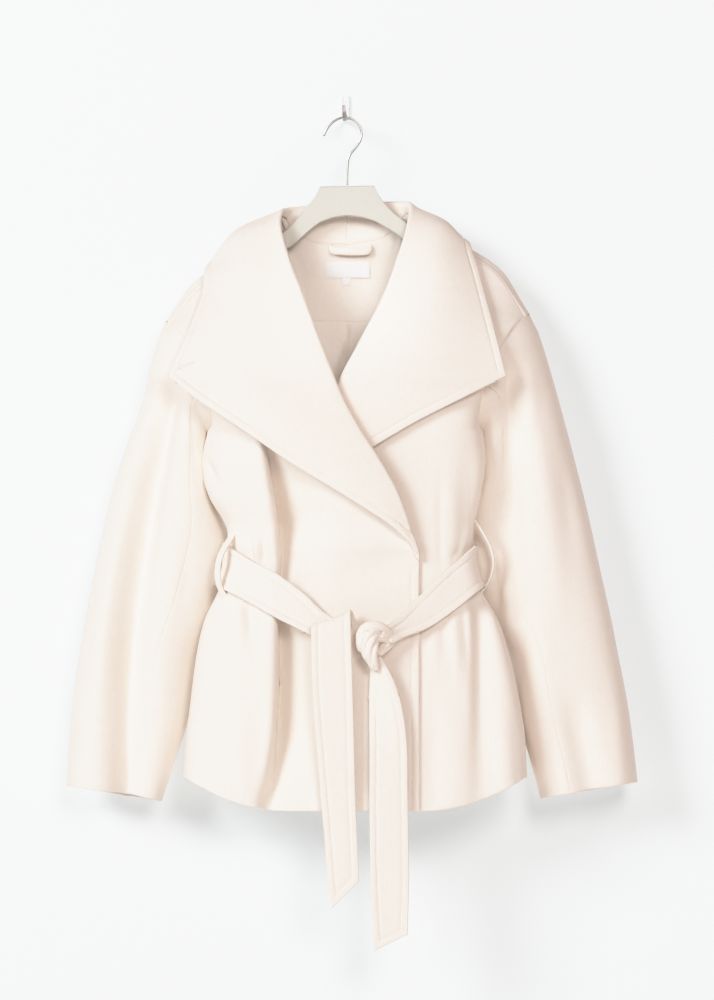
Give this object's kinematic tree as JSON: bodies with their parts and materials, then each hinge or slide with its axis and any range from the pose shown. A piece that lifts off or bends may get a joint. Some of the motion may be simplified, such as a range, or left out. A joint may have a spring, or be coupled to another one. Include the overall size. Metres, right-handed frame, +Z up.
{
  "type": "cropped jacket on a hanger",
  "caption": "Cropped wrap jacket in pale brushed wool with a very wide shawl-like lapel collar and a knotted tie belt, hanging on a flat hanger from a small wall hook.",
  "frame": {"origin": "middle of the wall hook's back face, where the wall holds it", "axes": "+Z up, the jacket's front faces -Y, its wearer's left is +X, the wall is the plane y = 0"},
  "size_m": [0.6374, 0.1626, 0.9509],
  "materials": {
    "wool": "brushed wool with a soft short nap, warm off-white",
    "label": "satin-woven label, blank",
    "hanger_paint": "beige paint, semi-matt",
    "hook_wire": "pale satin nickel",
    "wall_hook_plastic": "satin silver"
  },
  "bodies": {
    "root": {"front_over": "wool", "front_under": "wool", "collar_over": "wool", "collar_under": "wool", "back_yoke": "wool", "back_panel": "wool", "sleeve_top_right": "wool", "sleeve_top_left": "wool", "sleeve_under_right": "wool", "sleeve_under_left": "wool", "belt_back": "wool", "belt_front_right": "wool", "belt_front_left": "wool", "belt_knot": "wool", "belt_tail_right": "wool", "belt_tail_left": "wool", "belt_loop_right": "wool", "belt_loop_left": "wool", "neck_loop": "wool", "neck_label": "label", "size_tab": "label", "hanger_body": "hanger_paint", "hanger_hook": "hook_wire", "wall_hook": "wall_hook_plastic"}
  },
  "joints": []
}
